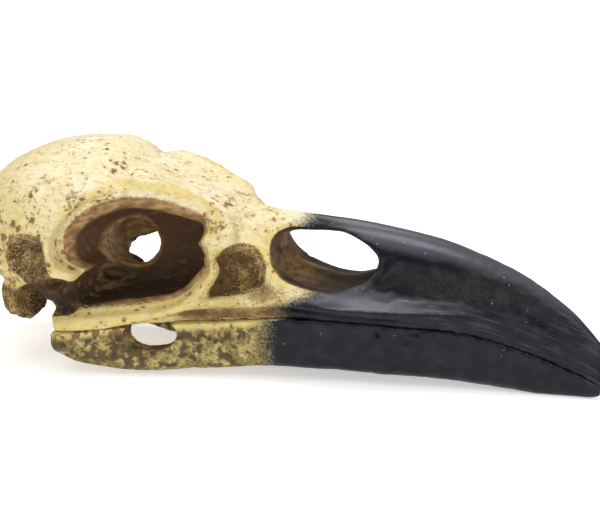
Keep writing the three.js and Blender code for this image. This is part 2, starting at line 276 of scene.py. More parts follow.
class Skin:
    # the points and edges of a mesh as whole arrays in millimetres

    def __init__(self, piece):
        self.mesh = piece.data
        count = len(self.mesh.vertices)
        flat = np.empty(count * 3, np.float32)
        self.mesh.vertices.foreach_get("co", flat)
        self.points = flat.reshape(-1, 3).astype(float) / mm
        pairs = np.empty(len(self.mesh.edges) * 2, np.int32)
        self.mesh.edges.foreach_get("vertices", pairs)
        a, b = pairs.reshape(-1, 2).T
        self.ends, self.others = np.concatenate([a, b]), np.concatenate([b, a])
        self.links = np.maximum(np.bincount(self.ends, minlength=count), 1)

    def mean(self, values):
        # the mean of each point's neighbours
        sums = [np.bincount(self.ends, column[self.others], len(self.links)) for column in values.T]
        return np.stack(sums, axis=-1) / self.links[:, None]

    def relax(self, rounds, weight=1.0):
        weight = np.broadcast_to(weight, len(self.points))[:, None] * 0.6
        for _ in range(rounds):
            self.points = self.points + weight * (self.mean(self.points) - self.points)

    def normals(self):
        self.write()
        flat = np.empty(len(self.points) * 3, np.float32)
        self.mesh.vertex_normals.foreach_get("vector", flat)
        return flat.reshape(-1, 3).astype(float)

    def push(self, amount):
        self.points = self.points + self.normals() * amount[:, None]

    def hollow(self, rounds):
        # how far each point lies below (positive) or above the mean of the skin around it
        normals = self.normals()
        soft = self.points
        for _ in range(rounds):
            soft = 0.4 * soft + 0.6 * self.mean(soft)
        return np.einsum("ij,ij->i", soft - self.points, normals)

    def write(self):
        self.mesh.vertices.foreach_set("co", (self.points * mm).astype(np.float32).ravel())
        self.mesh.update()

    def paint(self, name, values):
        layer = self.mesh.attributes.new(name, "FLOAT", "POINT")
        layer.data.foreach_set("value", np.clip(values, 0, 1).astype(np.float32))


# The line where the jaws meet, seen from the side. The lower jaw overlaps it, so that the two skins close.
gape = {
    "z": [[-60, 8], [-40, 7.5], [-30, 8.8], [-18, 9.8], [-8, 10.7], [2, 11.7], [14, 11.7], [24, 11.2],
          [30, 11], [36, 10.4], [42.6, 8.6], [49.5, 6.1], [55.6, 3.5], [60.7, 0.8], [70, -5]],
    "overlap": 0.12,
}
gapeZ = profile(gape["z"])

# The upper skull: an egg for the braincase and one long loft for roof, cheeks and bill.
skull = {
    "name": "upper_skull_cast",
    "voxel": 0.415,
    "braincase": {"centre": (-37, 0, 22.2), "power": 2.35, "lean": 0.03,
                  "reach": {"back": 26, "front": 12, "up": 19.2, "down": 9.6, "side": 20.6}},
    "face": {"from": -42.3, "to": 62.1, "bunch": 1.25},
    "roofZ": [[-44, 39], [-34, 39.2], [-30, 38.2], [-26, 37], [-17, 33.9], [-8, 31], [0, 30.1],
              [14, 29.1], [28, 27], [38, 24], [46, 20.4], [53, 15.8], [58, 11.1], [61, 6.8], [62.1, 2.8]],
    "ridgeZ": [[-44, 10.5], [-34, 11.6], [-18, 14], [-2, 15.2], [20, 14.7], [40, 14.2], [48, 12.6],
               [54, 9], [58, 5.4], [62.1, 2]],
    "ridgeHalf": [[-44, 18.2], [-34, 15.8], [-18, 12.6], [-2, 10.5], [10, 9.5], [20, 8], [35, 5.6],
                  [48, 3.2], [57, 1.4], [62.1, 0.5]],
    "browHalf": [[-44, 18], [-33, 16.6], [-24, 15.2], [-17, 13.2], [-10.5, 11], [-7, 8.2], [-2, 6.8],
                 [10, 5.6], [20, 5.4], [35, 4.4], [48, 2.6], [57, 1.2], [62.1, 0.4]],
    "browLift": [[-44, 0], [-29.6, 0], [-26.8, 6.5], [-21, 6.7], [-15, 4.9], [-12, 4.1], [-9.6, 3],
                 [-7.3, 0], [62.1, 0]],
    "power": [[-44, 2.4], [-31, 2.8], [-25, 4.2], [-12, 4.2], [-7, 2.3], [-2, 2], [62.1, 2]],
    "footIn": [[-44, 0.06], [-4, 0.06], [6, 0.1], [40, 0.08], [62.1, 0.06]],
    "culmen": {"starts": (0, 12), "ends": (50, 60), "flare": 0.42},
    "ledge": {"out": 1.2, "height": 1.6, "starts": (-6, 4), "ends": (22, 52)},
    "shelf": {"out": 1.1, "height": 2.4, "starts": (4, 14), "ends": (18, 30)},
}

# Hollows of the upper skull. A pit's wall lists [distance from the middle plane, share of its
# outline backward, forward, upward, downward]; "skin" is where it meets the flank.
pits = {
    "orbit": {"outline": [[-36.6, 19], [-39.4, 20.6], [-40.6, 22.6], [-40.6, 25.8], [-37.7, 30.9],
                          [-33.2, 34], [-27.5, 35.6], [-22.5, 35.2], [-16.6, 33.6], [-12.5, 30.8],
                          [-12.6, 28.2], [-13.9, 26], [-12.7, 23.6], [-12.4, 20.6], [-14.6, 17.4],
                          [-17.8, 14.2], [-22, 12.5], [-29.5, 11.4], [-34, 10.8], [-39.2, 10.6],
                          [-41, 13.6], [-39.6, 17]],
              "middle": (-27, 22), "skin": 14.3, "skew": -0.22,
              "wall": [[1.15, 0.3, 0.5, 0.41, 0.5], [2.4, 0.48, 0.72, 0.54, 0.68],
                       [4, 0.62, 0.83, 0.61, 0.77], [6, 0.74, 0.86, 0.635, 0.81], [8, 0.8, 0.865, 0.64, 0.82],
                       [10.2, 0.82, 0.85, 0.64, 0.82], [11.4, 0.85, 0.87, 0.7, 0.83], [14.3, 1, 1, 1, 1],
                       [17, 1.03, 1.03, 1.03, 1], [26, 1.08, 1.08, 1.15, 1]]},
    "antorbital": {"outline": [[-12.2, 22.8], [-10.7, 24.2], [-8.2, 25], [-5.6, 24.6], [-3.8, 23.1],
                               [-2.7, 20.6], [-2.7, 17.8], [-4.4, 16.5], [-8, 15.5], [-13.2, 14.9],
                               [-12.3, 18], [-11.4, 20.6]],
                   "middle": (-7.6, 19.8), "skin": 10.3, "skew": -0.1,
                   "wall": [[6.2, 0.4, 0.3, 0.3, 0.35], [6.9, 0.72, 0.5, 0.6, 0.65],
                            [8.4, 0.92, 0.78, 0.86, 0.88], [10.3, 1, 1, 1, 1], [16, 1.1, 1.25, 1.15, 1.05]]},
    "nostril": {"outline": [[-2.2, 24.6], [-1.2, 21.2], [2, 18.7], [9.4, 17.1], [15, 18.6], [17.8, 21.2],
                            [18.5, 22.7], [17.4, 24.5], [15, 26.2], [9.8, 28], [2.4, 27.8], [-1.6, 26.4]],
                "middle": (8.6, 22.6), "skin": 6, "skew": 0,
                "wall": [[-0.5, 0.9, 0.8, 0.78, 0.9], [1.5, 0.92, 0.84, 0.82, 0.95], [3, 1, 0.93, 0.97, 1],
                         [5, 1, 1, 1.04, 1], [8, 1, 1.03, 1.12, 1], [14, 1.05, 1.1, 1.3, 1.05]]},
}

hollows = {
    "quadrate": {"centre": (-40.4, 18.8, 14), "power": 2.6,
                 "reach": {"back": 4.5, "front": 6.5, "up": 4.4, "down": 3.2, "side": 4.2}},
    "temporal": {"centre": (-46.1, 22.6, 21.1), "power": 2.3,
                 "reach": {"back": 6, "front": 5, "up": 6.2, "down": 5.6, "side": 4.6}},
    "ear": {"centre": (-46, 17.5, 12.8), "power": 2.2,
            "reach": {"back": 4.4, "front": 2.6, "up": 3.2, "down": 5, "side": 6.5}},
    "nasal": {"centre": (8.6, 0, 20.6), "power": 2.4,
              "reach": {"back": 10.6, "front": 9.6, "up": 5.4, "down": 6, "side": 6.2}},
    "spine": {"centre": (-58.2, 0, 15.4), "power": 2.2,
              "reach": {"back": 4, "front": 3.4, "up": 2.5, "down": 2.3, "side": 3.1}},
    "choana": {"centre": (-20, 3.1, 8.8), "power": 2, "lean": 0.1,
               "reach": {"back": 11, "front": 13, "up": 2.4, "down": 4, "side": 2}},
}

septumWindow = {"x": -31.2, "z": 21.8, "halfLength": 4.7, "up": 4.6, "down": 4.6, "reach": 7.0}

knuckles = {
    "ear": {"centre": (-49.4, 12.6, 12.8), "power": 2.1,
            "reach": {"back": 4.6, "front": 4.4, "up": 5, "down": 4.6, "side": 4.4}},
    "lacrimal": {"centre": (-11.6, 8.8, 27), "power": 2.2,
                 "reach": {"back": 2.8, "front": 3.6, "up": 2.6, "down": 3.2, "side": 2.4}},
    "brow": {"centre": (-29.2, 12.4, 33.2), "power": 2.5,
             "reach": {"back": 5.5, "front": 5, "up": 2.6, "down": 3, "side": 4.4}},
}

# Small forms that stand in the hollows, put back after the cuts.
inserts = {
    "wedge": {"centre": (-35.2, 4.6, 16.9), "power": 1.5,
              "reach": {"back": 3, "front": 3.6, "up": 0.7, "down": 2.2, "side": 1.9}, "lean": -0.3},
    "earRoot": {"centre": (-42.6, 14.4, 15.1), "power": 2.2,
                "reach": {"back": 3.4, "front": 3, "up": 2.5, "down": 2.8, "side": 2.6}, "lean": -0.3},
    "condyle": {"centre": (-56.6, 0, 12.9), "power": 2,
                "reach": {"back": 1.6, "front": 2, "up": 1.2, "down": 1.2, "side": 1.5}},
    "farFlap": {"centre": (-32.5, 5, 26.5), "power": 2.5,
                "reach": {"back": 6, "front": 9, "up": 5, "down": 5.7, "side": 1.3}, "lean": 0.34},
}

rims = {
    "jugal": {"path": [(-41.4, 17.6, 8.9), (-36, 16.6, 9.4), (-30, 15.3, 10.4), (-24, 14, 11.8),
                       (-18, 12.9, 13.2), (-11, 11.8, 14.4), (-4, 10.6, 15)],
              "radius": [1.3, 1.4, 1.4, 1.4, 1.3, 0.9, 0.5]},
    "ear": {"path": [(-49.4, 16, 15.4), (-47.8, 17.2, 16.9), (-46, 17.6, 16.9), (-44, 17.3, 16),
                     (-42, 16.6, 15.2)],
            "radius": [0.5, 0.6, 0.65, 0.6, 0.4]},
}

skullCurves = {key: profile(skull[key]) for key in
               ("roofZ", "ridgeZ", "ridgeHalf", "browHalf", "browLift", "power", "footIn")}


def between(span, x):
    return ease(*span["starts"], x) * (1 - ease(*span["ends"], x))


def faceSection(x, across, height):
    # above the cheek ridge a superellipse that leans in from ridge to brow and lifts at its edges,
    # below it a nearly square foot that reaches past the gape; the bill turns that superellipse into
    # a round culmen standing on flanks that flare out to the ridge, and the ridge stands out as a ledge
    at = {key: curve(x) for key, curve in skullCurves.items()}
    upper = height > 0
    exponent = np.where(upper, 2 / at["power"], 0.4)
    side = signedPower(across, exponent)
    rise = np.abs(height) ** exponent
    half = np.where(upper, mix(at["ridgeHalf"], at["browHalf"], rise),
                    at["ridgeHalf"] * (1 - at["footIn"] * rise))
    limit = np.where(upper, at["roofZ"] + at["browLift"] * np.abs(side) ** 3,
                     np.minimum(gapeZ(x), at["ridgeZ"]) - 2)
    z = mix(at["ridgeZ"], limit, rise)
    spring = np.clip(1 - at["browHalf"] / (at["roofZ"] - at["ridgeZ"]), 0.05, 0.9)
    arch = np.sqrt(1 - np.clip((rise - spring) / (1 - spring), 0, 1) ** 2)
    flared = mix(at["ridgeHalf"], at["browHalf"], np.clip(rise / spring, 0, 1) ** skull["culmen"]["flare"])
    rounded = between(skull["culmen"], x) * upper
    y = mix(half * side, flared * arch * np.sign(across), rounded)
    for step in (skull["ledge"], skull["shelf"]):
        y = y + step["out"] * between(step, x) * side * bell(z, at["ridgeZ"], step["height"])
    return y, z


def upperSkull():
    core = egg("braincase_form", skull["braincase"], around=128, rings=72)
    bones, holes, small = [loft("face_form", skull["face"], faceSection)], [], []
    for side in bothSides:
        bones += [egg("knuckle_" + key, form, side) for key, form in knuckles.items()]
        bones += [strand("rim_jugal", rims["jugal"]["path"], rims["jugal"]["radius"], side)]
        holes += [pit("pit_" + key, form, side) for key, form in pits.items()]
        holes += [egg("hollow_" + key, hollows[key], side)
                  for key in ("quadrate", "temporal", "ear", "choana")]
        small += [strand("rim_ear", rims["ear"]["path"], rims["ear"]["radius"], side),
                  egg("wedge", inserts["wedge"], side), egg("ear_root", inserts["earRoot"], side)]
    holes += [egg("nasal_hollow", hollows["nasal"]), egg("spine_hollow", hollows["spine"])]
    holes += [windowBar("septum_window", septumWindow)]
    small += [egg("far_flap", inserts["farFlap"]), egg("condyle", inserts["condyle"])]
    openings = [gapeBlock("below_gape", 0, -40)]
    return carve(skull["name"], core, joined(bones) + cut(holes) + joined(small) + cut(openings),
                 skull["voxel"])


upperPiece = upperSkull()

# The lower jaw: one loft hollowed from behind and below.
jaw = {
    "name": "lower_jaw_cast",
    "voxel": 0.34,
    "block": {"from": -41.8, "to": 59.4, "bunch": 1.2},
    "throat": {"from": -47, "to": 33, "bunch": 1.2},
    "bottomZ": [[-41.8, 3], [-37, 0.5], [-27, -0.8], [-15, 0.2], [2, 1.5], [23, 1], [40, -0.3],
                [50, -0.85], [57, -0.85], [59.4, -0.4]],
    "half": [[-41.8, 19.3], [-30, 16.6], [-18, 13.4], [2, 10.2], [20, 7.8], [35, 5.4], [48, 3.1], [56, 1.8],
             [59.4, 0.9]],
    "taper": [[-41.8, 0.9], [-20, 0.94], [20, 0.9], [40, 0.78], [59.4, 0.8]],
    "power": [[-41.8, 5], [20, 5], [40, 3], [59.4, 2.6]],
    "wall": [[-47, 4.8], [-30, 4.6], [-16, 3.4], [0, 2.7], [33, 2.7]],
    "window": {"x": -23.5, "z": 7.7, "halfLength": 4.7, "up": 3.1, "down": 3.1, "lean": 0.05},
}

jawCurves = {key: profile(jaw[key]) for key in ("bottomZ", "half", "taper", "power", "wall")}


def jawSection(floor=None):
    # an upright block with a rounded, narrower foot; given a floor it is the throat, a wall's thickness
    # further in and open below
    def section(x, across, height):
        at = {key: curve(x) for key, curve in jawCurves.items()}
        middle = (at["bottomZ"] + gapeZ(x)) / 2
        upper = height > 0
        exponent = np.where(upper, 1 / 3, 2 / at["power"])
        drop = np.abs(height) ** exponent
        inward, bottom = (0, at["bottomZ"]) if floor is None else (at["wall"], floor)
        half = np.maximum(0.4, at["half"] - inward) * np.where(upper, 1, mix(1, at["taper"], drop))
        return half * signedPower(across, exponent), mix(middle, np.where(upper, gapeZ(x) + 3, bottom), drop)
    return section


def lowerJaw():
    core = loft("jaw_form", jaw["block"], jawSection())
    holes = [loft("throat", jaw["throat"], jawSection(-8.0)),
             windowBar("jaw_window", jaw["window"]),
             gapeBlock("above_gape", gape["overlap"], 60)]
    return carve(jaw["name"], core, cut(holes), jaw["voxel"])


jawPiece = lowerJaw()
print("forms carved")


fadeEdge = profile([[11, -0.4], [14.3, 0.2], [16.8, 5], [22, 3.5], [26.5, 1.2], [29.5, 2.8]])


def blackShare(points, inside):
    # 0 on bone and 1 on the black bill, fading over the base of each jaw and later inside the nostril
    x, z = points[:, 0], points[:, 2]
    upper = z > gapeZ(x)
    edge = np.where(upper, fadeEdge(z), -2.8) + 16.0 * inside
    soft = np.where(upper, 6.5, 5.5) + 2.0 * inside
    return ease(-1, 1, (x - edge + 0.7 * cloud(points, 3.0, 5)) / soft)


def pitted(points, size, seed, low=0.5, high=0.8):
    # small round pits: the peaks of one noise, kept where a wider noise gathers them
    return ease(low, high, noise(points, size, seed)) * ease(-0.1, 0.4, cloud(points, 7.0, seed + 9, 2))


# turns the creases at the nostril's front corner up and forward, and draws them out along that line
creaseTurn = np.array([[0.15, 0, -0.75], [0, 1, 0], [0.12, 0, 0.65]])

# How the skins are worked over, in millimetres.
relief = {
    "swell": 0.18, "orbitRim": 0.45, "grit": 0.4, "pit": 0.42, "groove": 0.8, "streak": 0.16,
    "tomium": 0.13, "dent": 0.22, "crease": 0.5, "scuff": 0.2, "jawSwell": 0.2, "jawPit": 0.36,
}

# How many times each stretch of the upper skin is softened.
softening = {"aboveGape": 3, "nostril": 5, "browSeam": 24, "brow": 30, "orbitRear": 16}

# Spots on the side of the skull that are softened, creased, stained or given painted shade, each with its
# middle and its reach along and up.
softSpots = {
    "browSeam": {"x": (-28.4, 3), "z": (36.4, 2)},
    "browCrest": {"x": (-28, 5), "z": (36.5, 3.5)},
    "browStain": {"x": (-37, 4), "z": (34, 3)},
    "lacrimalStain": {"x": (-10, 5), "z": (29, 4)},
    "orbitRear": {"x": (-38.5, 2.4), "z": (13.5, 4.5)},
    "orbitWash": {"x": (-38, 3), "z": (26, 6)},
    "orbitCorner": {"x": (-38, 4.5), "z": (13.5, 3.6)},
    # painted shadow deep in the orbit's lower rear
    "orbitShadow": {"x": (-36, 5), "z": (14, 4.5)},
    "cheekBlush": {"x": (0, 5), "z": (16.5, 2.6)},
    "nostrilCrease": {"x": (20, 3), "z": (20.5, 3.2)},
    "billFlank": {"x": (36, 16), "z": (19, 3.6)},
}


def near(key, x, z):
    # 1 in the middle of a spot, falling off as a bell along and up
    return bell(x, *softSpots[key]["x"]) * bell(z, *softSpots[key]["z"])


def smoothUpper(skin):
    # softens the skin above the gape, and more where the braincase meets the brow, behind the orbit
    # and around the nostril
    x, out, z = skin.points[:, 0], np.abs(skin.points[:, 1]), skin.points[:, 2]
    orbitShare = outlineShare(pits["orbit"], skin.points)
    skin.relax(softening["aboveGape"], ease(0.2, 0.9, z - gapeZ(x)))
    skin.relax(softening["nostril"], bell(outlineShare(pits["nostril"], skin.points), 1, 0.14) * (out < 9))
    skin.relax(softening["browSeam"], bell(x, -31, 2.6) * ease(31, 34, z) * ease(1.03, 1.1, orbitShare))
    skin.relax(softening["brow"], near("browSeam", x, z) * bell(out, 13, 3.5) * ease(1.0, 1.03, orbitShare))
    skin.relax(softening["orbitRear"], near("orbitRear", x, z) * (out > 10.5))


def finishUpper():
    skin = Skin(upperPiece)
    smoothUpper(skin)
    place = skin.points
    x, z = place[:, 0], place[:, 2]
    out = np.abs(place[:, 1])
    orbitShare, orbitSunk = outlineShare(pits["orbit"], place), sunk(pits["orbit"], place)
    nostrilShare = outlineShare(pits["nostril"], place)
    bone, bill = 1 - ease(0, 4, x), ease(6, 14, x)
    aboveGape = z - gapeZ(x)
    underRoof = np.maximum(ease(8, 10, out), 1 - ease(-3.4, -2.6, z - skullCurves["roofZ"](x)))
    inOrbit = (1 - ease(1.0, 1.04, orbitShare)) * ease(0.5, 2.0, orbitSunk) * underRoof
    # the orbit's shallow floor takes less wash and so is paler: partly the cream showing, partly painted
    # light on this lit ledge
    paleLitSill = inOrbit * (1 - ease(13, 16, z)) * (1 - ease(2.4, 4.2, orbitSunk))
    inNose = np.maximum(1 - ease(0.95, 1.12, eggDepth(hollows["nasal"], place)),
                        1 - ease(0.98, 1.04, nostrilShare))
    antorbitalShare = outlineShare(pits["antorbital"], place)
    inAntorbital = (1 - ease(0.98, 1.1, antorbitalShare)) * ease(0.1, 0.8, sunk(pits["antorbital"], place))
    halo = np.maximum(1 - ease(0.9, 1.5, antorbitalShare + 0.05 * (z - 20)),
                      1 - ease(1.0, 1.35, eggDepth(hollows["temporal"], place)))
    halo = halo * (1 - inNose) * np.maximum(1 - ease(-42.5, -40.5, x), ease(-30, -20, x))
    inTemporal, inQuadrate, inEar, inChoana, inSpine = (
        1 - ease(1.0, 1.14, eggDepth(hollows[key], place))
        for key in ("temporal", "quadrate", "ear", "choana", "spine"))
    inEar = inEar * ease(-49.5, -46.5, x)
    onKnuckle = (1 - ease(1.02, 1.14, eggDepth(knuckles["ear"], place))) * (1 - ease(14.5, 16, z))
    socket = np.hypot((x + 43) / 5.2, (z - 16.6 + 0.5 * (x + 43)) / 3.4) + 0.25 * cloud(place, 2.0, 91)
    inSocket = (1 - ease(0.8, 1.15, socket)) * (out > 12)
    inCorner = near("orbitCorner", x, z) * (1 - ease(1.0, 1.04, orbitShare))
    gritty = np.clip(inAntorbital + inTemporal + inQuadrate + inSocket + onKnuckle + 0.7 * inCorner, 0, 1)
    scuffed = near("billFlank", x, z) * bill
    underCheek = ease(-21, -15, x) * (1 - ease(-2, 12, x)) * bell(aboveGape, 1.3, 1.2) * (out > 8)
    bare = bone * (1 - np.clip(inOrbit + inNose + gritty, 0, 1))

    skin.push(relief["swell"] * cloud(place, 8.0, 1) * (1 - 0.6 * bill))
    skin.push(relief["orbitRim"] * bell(orbitShare, 1.07, 0.06) * (out > 9) * (z > 14.5) * (z < 35))
    skin.push(-relief["groove"] * underCheek)
    skin.push(gritty * relief["grit"] * cloud(place, 1.4, 11))
    skin.push(relief["scuff"] * scuffed * cloud(place, 1.6, 13))
    creased = near("nostrilCrease", x, z) * (out > 3)
    skin.push(relief["crease"] * creased * noise(place @ creaseTurn, 0.9, 15))
    skin.push(relief["streak"] * inOrbit * cloud(place * (0.35, 1, 1), 1.0, 21))
    skin.push(-relief["pit"] * bare * (pitted(place, 1.3, 31) + 0.7 * pitted(place, 2.4, 47)))
    tomium = bill * (1 - ease(0.2, 1.2, z - skullCurves["ridgeZ"](x)))
    drawn = np.stack([0.06 * x, 0 * x, aboveGape], axis=-1)
    skin.push(relief["tomium"] * tomium * cloud(drawn, 1.3, 61, 2))
    skin.push(-relief["dent"] * bill * pitted(place * (0.6, 1, 1), 2.6, 71, 0.3, 0.8))
    skin.relax(1, ease(0.2, 0.9, aboveGape))

    lowLip = (1 - ease(20, 23, z)) * ease(-1, 2, x)
    nostrilLip = bell(nostrilShare, 0.98, 0.04) * (out < 9) * mix(0.6, 1, lowLip)
    onBrow = near("browCrest", x, z) * bell(out, 13, 6)
    fromWindow = np.hypot(x - septumWindow["x"], z - septumWindow["z"]) / septumWindow["halfLength"]
    inWindow = (1 - ease(1.0, 1.25, fromWindow)) * (out < septumWindow["reach"])

    # the attributes that the paint reads
    skin.paint("black", blackShare(place, inNose * (1 - ease(22, 25, z))))
    skin.paint("hollow", 0.5 + 1.6 * skin.hollow(10) * (1 - onBrow))
    skin.paint("brown", mix(0.3, 0.9, ease(0, 2.6, orbitSunk)) * inOrbit - 0.3 * paleLitSill + 0.75 * inAntorbital
               + 0.25 * inOrbit * near("orbitWash", x, z) + 0.5 * inTemporal + 0.95 * inQuadrate
               + 0.8 * inSocket + inEar + 0.6 * onKnuckle + nostrilLip + 0.9 * inSpine + 0.8 * inChoana
               + 0.3 * halo * (1 - inOrbit) + 0.9 * underCheek + 0.95 * inNose
               + 0.42 * near("cheekBlush", x, z) * (out > 6))
    # darker deeper in the hollows: partly the wash's own darker tone, partly painted shade
    skin.paint("deepWashShade", inOrbit * ease(2.4, 4.2, orbitSunk) * (1 - inWindow) + 0.6 * inQuadrate + 0.8 * inEar
               + 0.3 * inSocket + mix(0.2, 1, ease(-2, 8, x)) * inNose + 0.8 * inSpine
               + near("orbitShadow", x, z) * (1 - ease(1.0, 1.04, orbitShare)) + 0.8 * nostrilLip
               + 0.6 * inAntorbital * (1 - ease(-12, -6, x)))
    skin.paint("grit", np.maximum(gritty, halo) + 0.6 * underCheek)
    # the upward-facing parts of the bill, which the paint makes paler as a painted sheen
    skin.paint("sheenOnTop", ease(0.3, 0.9, skin.normals()[:, 2]) * bill * (1 - inNose))
    skin.paint("scuff", scuffed + inNose)
    # where the bill is grooved: the bump raises the grooves there, and the paint draws them as lighter lines
    # of painted highlight
    skin.paint("scored", bill * (1 - ease(4.5, 8.5, aboveGape)) * ease(12, 36, x) * (1 - inNose)
               + ease(44, 52, x) * bell(z, skullCurves["roofZ"](x) - 3, 1.6))
    skin.paint("level", aboveGape / 40)
    skin.paint("weather", (1 - ease(26, 36, z)) * (1 - ease(-48, -38, x)) + near("browStain", x, z)
               + 0.6 * near("lacrimalStain", x, z))
    # yellower around the orbit and nostril rims, which is the paint's own colour; yellower and darker towards
    # the bottom and the back, which is painted shade
    skin.paint("yellowAndShade", bell(orbitShare, 1.04, 0.07) * (out > 9) * ease(-44, -34, x)
               + (1 - ease(10, 17, z)) * bone + 0.7 * bell(nostrilShare, 1.08, 0.08)
               + 0.7 * (1 - ease(20, 37, z)) * bone + 0.5 * (1 - ease(-56, -40, x)))
    skin.paint("mottle", 0 * x)
    skin.points = skin.points + castShift
    skin.write()


def finishJaw():
    skin = Skin(jawPiece)
    place = skin.points
    x, z = place[:, 0], place[:, 2]
    belowGape = gapeZ(x) - z
    bone = 1 - ease(-4, 1, x)
    skin.relax(softening["aboveGape"], ease(0.3, 1.0, belowGape))
    skin.push(relief["jawSwell"] * cloud(place, 6.0, 3))
    skin.push(-relief["jawPit"] * (pitted(place, 1.5, 33) * bone
                                   + (1 - bone) * pitted(place, 1.7, 73, 0.5, 0.85)))
    skin.relax(1, ease(0.3, 1.0, belowGape))
    inner = ease(0.6, 1.6, jawCurves["half"](x) * 0.92 - np.abs(place[:, 1])) * (x < 31)
    window = jaw["window"]
    inWindow = 1 - ease(0.98, 1.05, np.hypot((x - window["x"]) / window["halfLength"],
                                             (z - window["z"]) / window["up"]))
    skin.paint("black", blackShare(place, 0 * x))
    skin.paint("hollow", 0.5 + 1.6 * skin.hollow(10))
    skin.paint("brown", 0.8 * inner * (x > -10) + 0.95 * inWindow
               + 0.3 * bell(x, -34, 6) * bell(belowGape, 5.5, 3))
    # the window's walls darker still, partly wash, partly painted shade
    skin.paint("deepWashShade", 0.8 * inWindow)
    for blank in ("grit", "scuff", "sheenOnTop"):
        skin.paint(blank, 0 * x)
    skin.paint("scored", 0.25 * (1 - bone) * bell(belowGape, 0, 3))
    skin.paint("level", belowGape / 40)
    skin.paint("weather", 1 - ease(-28, -16, x))
    skin.paint("yellowAndShade", bone)
    skin.paint("mottle", bone * ease(0.2, 1.6, belowGape))
    skin.points = skin.points + castShift
    skin.write()


# the middle of the length goes to the origin and the lowest point of the jaw to the floor
noseX, tailX = skull["face"]["to"], skull["braincase"]["centre"][0] - skull["braincase"]["reach"]["back"]
castShift = np.array([-(noseX + tailX) / 2, 0, -min(height for x, height in jaw["bottomZ"])])
finishUpper()
finishJaw()
print("skins worked over")


class Paint:
    # lays out the nodes of one painted finish on the piece's own coordinates

    def __init__(self, name):
        self.material = bpy.data.materials.new(name)
        self.material.use_nodes = True
        self.nodes, self.links = self.material.node_tree.nodes, self.material.node_tree.links
        self.shader = self.nodes["Principled BSDF"]
        self.where = self.nodes.new("ShaderNodeTexCoord").outputs["Object"]

    def feed(self, socket, value):
        if isinstance(value, bpy.types.NodeSocket):
            self.links.new(value, socket)
        else:
            socket.default_value = value

    def alongGape(self):
        # the piece's own X with the distance from the gape line in place of its height
        own, mixed = self.nodes.new("ShaderNodeSeparateXYZ"), self.nodes.new("ShaderNodeCombineXYZ")
        self.feed(own.inputs["Vector"], self.where)
        self.feed(mixed.inputs["X"], own.outputs["X"])
        self.feed(mixed.inputs["Z"], self.sum("MULTIPLY", self.read("level"), 40 * mm))
        return mixed.outputs["Vector"]

    def read(self, name):
        node = self.nodes.new("ShaderNodeAttribute")
        node.attribute_name = name
        return node.outputs["Fac"]

    def noise(self, size, detail=2.0, stretch=(1, 1, 1), where=None):
        # a noise of features about `size` millimetres wide
        place = self.nodes.new("ShaderNodeMapping")
        self.feed(place.inputs["Vector"], where or self.where)
        place.inputs["Scale"].default_value = [1 / (size * mm * pull) for pull in stretch]
        node = self.nodes.new("ShaderNodeTexNoise")
        self.feed(node.inputs["Vector"], place.outputs["Vector"])
        node.inputs["Scale"].default_value = 1.0
        node.inputs["Detail"].default_value = detail
        return node.outputs["Fac"]

    def spots(self, size, ragged, spread):
        # round spots on scattered centres `size` millimetres apart: near 0 at each centre, and grown or
        # shrunk by two given noises
        place = self.nodes.new("ShaderNodeMapping")
        self.feed(place.inputs["Vector"], self.where)
        place.inputs["Scale"].default_value = [1 / (size * mm)] * 3
        node = self.nodes.new("ShaderNodeTexVoronoi")
        self.feed(node.inputs["Vector"], place.outputs["Vector"])
        node.inputs["Scale"].default_value = 1.0
        grown = self.sum("ADD", self.sum("MULTIPLY", ragged, 0.9), self.sum("MULTIPLY", spread, 1.4))
        return self.sum("SUBTRACT", node.outputs["Distance"], grown)

    def step(self, value, low, high, to=1.0):
        node = self.nodes.new("ShaderNodeMapRange")
        node.interpolation_type = "SMOOTHSTEP"
        self.feed(node.inputs["Value"], value)
        node.inputs["From Min"].default_value, node.inputs["From Max"].default_value = low, high
        node.inputs["To Max"].default_value = to
        return node.outputs["Result"]

    def sum(self, operation, a, b):
        node = self.nodes.new("ShaderNodeMath")
        node.operation = operation
        self.feed(node.inputs[0], a)
        self.feed(node.inputs[1], b)
        return node.outputs["Value"]

    def blend(self, share, a, b):
        node = self.nodes.new("ShaderNodeMix")
        node.data_type = "RGBA"
        self.feed(node.inputs["Factor"], share)
        self.feed(node.inputs["A"], a)
        self.feed(node.inputs["B"], b)
        return node.outputs["Result"]


tints = {
    "cream": (0.73, 0.63, 0.37, 1), "pale": (0.77, 0.69, 0.48, 1), "yellowAndShade": (0.62, 0.50, 0.18, 1),
    "tan": (0.52, 0.37, 0.15, 1), "speck": (0.17, 0.09, 0.035, 1), "umber": (0.05, 0.029, 0.012, 1),
    "wash": (0.21, 0.115, 0.05, 1), "washLight": (0.40, 0.25, 0.10, 1), "chocolate": (0.075, 0.036, 0.016, 1),
    "gritDark": (0.065, 0.033, 0.012, 1), "gritLight": (0.42, 0.29, 0.105, 1),
    "olive": (0.23, 0.17, 0.05, 1), "jaw": (0.44, 0.35, 0.13, 1), "rust": (0.30, 0.16, 0.055, 1),
    "black": (0.0032, 0.0036, 0.0052, 1), "smoke": (0.0095, 0.0105, 0.0145, 1),
    "scuff": (0.022, 0.02, 0.014, 1), "dustAndSheen": (0.067, 0.07, 0.082, 1), "chip": (0.3, 0.31, 0.32, 1),
    "deepShadeBrown": (0.015, 0.0095, 0.006, 1),
}


